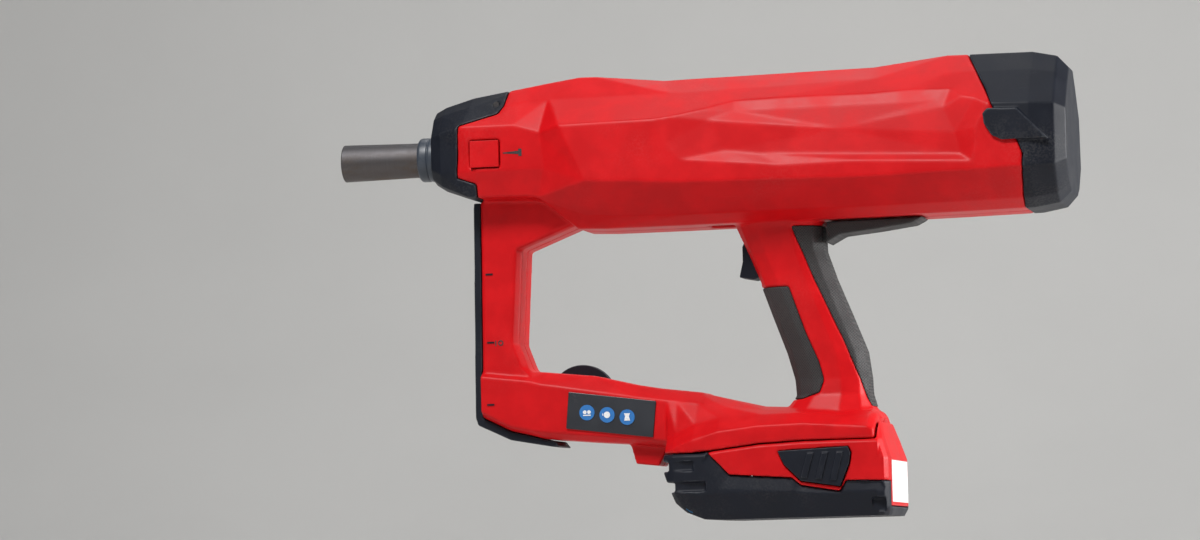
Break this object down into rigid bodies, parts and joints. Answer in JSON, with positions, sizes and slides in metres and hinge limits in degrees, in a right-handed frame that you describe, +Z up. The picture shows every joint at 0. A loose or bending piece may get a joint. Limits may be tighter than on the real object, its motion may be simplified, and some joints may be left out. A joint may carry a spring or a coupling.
{
  "type": "battery nail gun",
  "caption": "Battery-powered nail gun with a long faceted barrel housing, D-frame front column, leaning handle, slide-off battery pack and spring-driven rod.",
  "frame": {"origin": "centre of the muzzle, on the barrel's axis", "axes": "+X runs along the barrel from the muzzle to the rear cap, +Z is up, -Y is the tool's left side"},
  "size_m": [0.405, 0.0924, 0.2465],
  "materials": {
    "red_plastic": "satin moulded plastic with fine grain",
    "black_plastic": "satin glass-filled plastic",
    "rubber": "matte moulded rubber",
    "barrel_steel": "turned steel with heat and work marks",
    "dark_steel": "dark blue-grey bush",
    "machined_steel": "machined steel",
    "spring_steel": "drawn spring wire",
    "cast_alloy": "cast alloy",
    "screw_steel": "blackened screws",
    "copper": "copper windings",
    "brass": "plated contacts",
    "board_green": "solder-mask board",
    "board_parts": "moulded components",
    "cell_wrap": "shrink-wrapped metal cans, of about the density of filled cells",
    "pale_label": "plain pale label",
    "blue_disc": "plain blue discs"
  },
  "bodies": {
    "tool": {"board_parts": "board_parts", "buffer_ring": "rubber", "cap_screws": "screw_steel", "circuit_board": "board_green", "contact_blades": "brass", "contact_block": "black_plastic", "drive_spring": "spring_steel", "gearbox_plate": "cast_alloy", "grip_front": "rubber", "grip_rear": "rubber", "guide_tube": "cast_alloy", "hook_pin": "screw_steel", "housing_left": "red_plastic", "housing_right": "red_plastic", "housing_screws": "screw_steel", "info_discs": "blue_disc", "label_plate": "black_plastic", "motor_can": "machined_steel", "motor_plate": "cast_alloy", "nose_cap": "black_plastic", "nose_collar": "dark_steel", "nose_seat": "machined_steel", "nose_spring": "spring_steel", "rear_cap": "black_plastic", "scale_marks": "black_plastic", "spindle_bearing": "machined_steel", "spring_seat": "machined_steel", "tang_pad": "rubber", "trigger_pin": "machined_steel", "trigger_spring": "spring_steel", "trigger_switch": "black_plastic", "wear_strip": "black_plastic"},
    "barrel": {"nose_barrel": "barrel_steel"},
    "button": {"release_button": "red_plastic"},
    "trigger": {"trigger": "black_plastic"},
    "battery": {"battery_lower_case": "black_plastic", "battery_upper_case": "red_plastic", "battery_cells": "cell_wrap", "battery_terminals": "brass", "battery_label": "pale_label"},
    "latch_left": {"latch_left": "black_plastic"},
    "latch_right": {"latch_right": "black_plastic"},
    "hook": {"utility_hook": "black_plastic"},
    "spindle": {"spindle": "machined_steel", "spindle_gear": "machined_steel"},
    "driver": {"driver": "machined_steel"},
    "rotor": {"rotor_core": "copper", "rotor_shaft": "machined_steel", "motor_pinion": "machined_steel"}
  },
  "joints": [
    {"name": "nose_press", "type": "slide", "parent": "tool", "child": "barrel", "axis": [1, 0, 0], "range_m": [0, 0.01], "stiffness_N_per_m": 900, "springref_m": -0.004, "deforming": ["nose_spring"]},
    {"name": "button_push", "type": "slide", "parent": "tool", "child": "button", "axis": [0, 1, 0], "range_m": [0, 0.002], "stiffness_N_per_m": 1200, "springref_m": -0.0008},
    {"name": "trigger_pull", "type": "hinge", "parent": "tool", "child": "trigger", "pos_m": [0.241, 0, -0.047], "axis": [0, -1, 0], "range_deg": [0, 10], "stiffness_Nm_per_rad": 1.2, "springref_deg": -5.16, "deforming": ["trigger_spring"]},
    {"name": "battery_slide", "type": "slide", "parent": "tool", "child": "battery", "axis": [1, 0, 0], "range_m": [0, 0.11]},
    {"name": "latch_left_press", "type": "slide", "parent": "battery", "child": "latch_left", "axis": [0, 1, 0], "range_m": [0, 0.0018], "stiffness_N_per_m": 1500, "springref_m": -0.0008},
    {"name": "latch_right_press", "type": "slide", "parent": "battery", "child": "latch_right", "axis": [0, -1, 0], "range_m": [0, 0.0018], "stiffness_N_per_m": 1500, "springref_m": -0.0008},
    {"name": "hook_swing", "type": "hinge", "parent": "tool", "child": "hook", "pos_m": [0.166, 0, -0.148], "axis": [0, 1, 0], "range_deg": [0, 108]},
    {"name": "spindle_spin", "type": "hinge", "parent": "tool", "child": "spindle", "pos_m": [0.2, 0, 0], "axis": [1, 0, 0], "range_deg": [0, 1080]},
    {"name": "driver_slide", "type": "slide", "parent": "tool", "child": "driver", "axis": [1, 0, 0], "range_m": [0, 0.03], "deforming": ["drive_spring"]},
    {"name": "rotor_spin", "type": "hinge", "parent": "tool", "child": "rotor", "pos_m": [0.3, 0, -0.02], "axis": [1, 0, 0], "range_deg": [-2520, 0]}
  ],
  "couplings": [
    {"joint": "spindle_spin", "follows": "driver_slide", "rad_per_m": 628.32},
    {"joint": "rotor_spin", "follows": "driver_slide", "rad_per_m": -1466.1}
  ]
}
